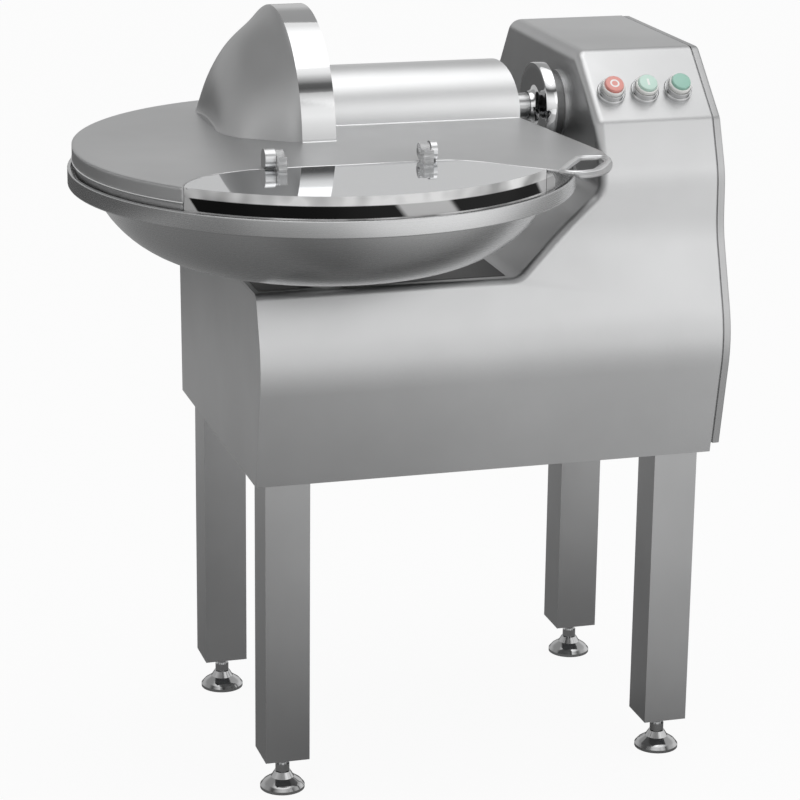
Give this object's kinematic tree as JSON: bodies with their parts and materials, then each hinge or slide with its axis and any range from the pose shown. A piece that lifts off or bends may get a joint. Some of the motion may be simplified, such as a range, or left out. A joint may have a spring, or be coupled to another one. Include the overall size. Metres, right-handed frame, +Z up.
{
  "type": "meat bowl cutter",
  "caption": "Floor-standing meat bowl cutter in satin stainless steel: rotating bowl under a hinged lid with knife guard and clear window, drive head with push buttons, square legs.",
  "frame": {"origin": "middle of the overall box at floor level, under the levelling feet", "axes": "+Z up, +X from the bowl towards the drive head, -Y the operator's side with the window and buttons"},
  "size_m": [0.86, 0.748, 1.033],
  "materials": {
    "satin_steel": "bead-blasted satin stainless steel",
    "leg_steel": "satin stainless square tube",
    "lid_steel": "bead-blasted satin stainless steel",
    "bowl_steel": "finely turned satin stainless steel",
    "polished_steel": "mirror-polished stainless steel",
    "foot_steel": "polished stainless levelling feet",
    "blade_steel": "ground knife steel",
    "machined_steel": "machined bright steel",
    "bearing_steel": "ground bearing steel",
    "frame_steel": "primed structural steel",
    "motor_paint": "grey machine paint",
    "cast_grey": "painted grey iron",
    "bronze": "gear bronze",
    "belt_rubber": "ribbed black drive belt",
    "seal_rubber": "black lip seal",
    "black_plastic": "moulded black plastic",
    "clear_plastic": "clear polycarbonate",
    "red_plastic": "red button under a clear boot",
    "pale_green_plastic": "green button under a clear boot",
    "green_plastic": "plain green button under a clear boot"
  },
  "bodies": {
    "stand": {"casing_shell": "satin_steel", "left_end_panel": "satin_steel", "bottom_pan": "satin_steel", "rear_cover": "satin_steel", "right_side_cover": "satin_steel", "leg_front_left": "leg_steel", "leg_front_right": "leg_steel", "leg_rear_left": "leg_steel", "leg_rear_right": "leg_steel", "leg_end_plugs": "frame_steel", "base_frame": "frame_steel", "motor_plate": "frame_steel", "main_motor": "motor_paint", "motor_cowl": "motor_paint", "bearing_housing": "cast_grey", "knife_bearings": "bearing_steel", "shaft_flange": "polished_steel", "shaft_seal": "seal_rubber", "housing_collar": "satin_steel", "spindle_housing": "cast_grey", "spindle_bearings": "bearing_steel", "gear_case": "cast_grey", "gear_case_plate": "frame_steel", "bowl_motor": "motor_paint", "electrical_box": "black_plastic", "cable_gland": "black_plastic", "button_bezels": "polished_steel", "contact_blocks": "black_plastic", "hinge_post": "satin_steel", "drive_belts": "belt_rubber"},
    "bowl_unit": {"bowl": "bowl_steel", "bowl_knob": "polished_steel", "bowl_spindle": "machined_steel", "worm_wheel": "bronze"},
    "bowl_worm": {"worm_shaft": "machined_steel"},
    "knife_unit": {"knife_shaft": "machined_steel", "knife_nut": "polished_steel", "knife_blade_1": "blade_steel", "knife_blade_2": "blade_steel", "knife_blade_3": "blade_steel", "knife_spacers": "machined_steel", "knife_pulley": "cast_grey"},
    "motor_rotor": {"motor_shaft": "machined_steel", "motor_pulley": "cast_grey", "motor_fan": "black_plastic"},
    "lid_unit": {"lid": "lid_steel", "guard_band": "polished_steel", "guard_shell": "lid_steel", "shaft_tunnel": "lid_steel", "lid_hinge_arms": "satin_steel", "window_hinge_bosses": "polished_steel"},
    "window_unit": {"window": "clear_plastic"},
    "stop_key": {"stop_button": "red_plastic"},
    "start_key": {"start_button": "pale_green_plastic"},
    "bowl_key": {"bowl_button": "green_plastic"},
    "levelling_front_left": {"foot_front_left": "foot_steel"},
    "levelling_front_right": {"foot_front_right": "foot_steel"},
    "levelling_rear_left": {"foot_rear_left": "foot_steel"},
    "levelling_rear_right": {"foot_rear_right": "foot_steel"}
  },
  "joints": [
    {"name": "bowl_spin", "type": "hinge", "parent": "stand", "child": "bowl_unit", "pos_m": [-0.11, -0.054, 0.7], "axis": [0, 0, 1], "continuous": true},
    {"name": "worm_spin", "type": "hinge", "parent": "stand", "child": "bowl_worm", "pos_m": [-0.11, -0.006, 0.526], "axis": [1, 0, 0], "continuous": true},
    {"name": "knife_spin", "type": "hinge", "parent": "stand", "child": "knife_unit", "pos_m": [0.3, 0.1, 0.888], "axis": [1, 0, 0], "continuous": true},
    {"name": "motor_spin", "type": "hinge", "parent": "stand", "child": "motor_rotor", "pos_m": [0.2, 0.1, 0.585], "axis": [1, 0, 0], "continuous": true},
    {"name": "lid_hinge", "type": "hinge", "parent": "stand", "child": "lid_unit", "pos_m": [0.04, 0.285, 0.878], "axis": [-1, 0, 0], "range_deg": [0, 75]},
    {"name": "window_hinge", "type": "hinge", "parent": "lid_unit", "child": "window_unit", "pos_m": [-0.11, -0.192, 0.897], "axis": [-1, 0, 0], "range_deg": [0, 100]},
    {"name": "stop_key_press", "type": "slide", "parent": "stand", "child": "stop_key", "axis": [0, 0.6722, -0.7403], "range_m": [0, 0.004], "stiffness_N_per_m": 600, "springref_m": -0.002},
    {"name": "start_key_press", "type": "slide", "parent": "stand", "child": "start_key", "axis": [0, 0.6722, -0.7403], "range_m": [0, 0.004], "stiffness_N_per_m": 600, "springref_m": -0.002},
    {"name": "bowl_key_press", "type": "slide", "parent": "stand", "child": "bowl_key", "axis": [0, 0.6722, -0.7403], "range_m": [0, 0.004], "stiffness_N_per_m": 600, "springref_m": -0.002},
    {"name": "level_front_left", "type": "slide", "parent": "stand", "child": "levelling_front_left", "axis": [0, 0, -1], "range_m": [-0.01, 0.015]},
    {"name": "level_front_right", "type": "slide", "parent": "stand", "child": "levelling_front_right", "axis": [0, 0, -1], "range_m": [-0.01, 0.015]},
    {"name": "level_rear_left", "type": "slide", "parent": "stand", "child": "levelling_rear_left", "axis": [0, 0, -1], "range_m": [-0.01, 0.015]},
    {"name": "level_rear_right", "type": "slide", "parent": "stand", "child": "levelling_rear_right", "axis": [0, 0, -1], "range_m": [-0.01, 0.015]}
  ],
  "couplings": [
    {"joint": "worm_spin", "follows": "bowl_spin", "ratio": 20},
    {"joint": "motor_spin", "follows": "knife_spin", "ratio": 0.5475}
  ]
}
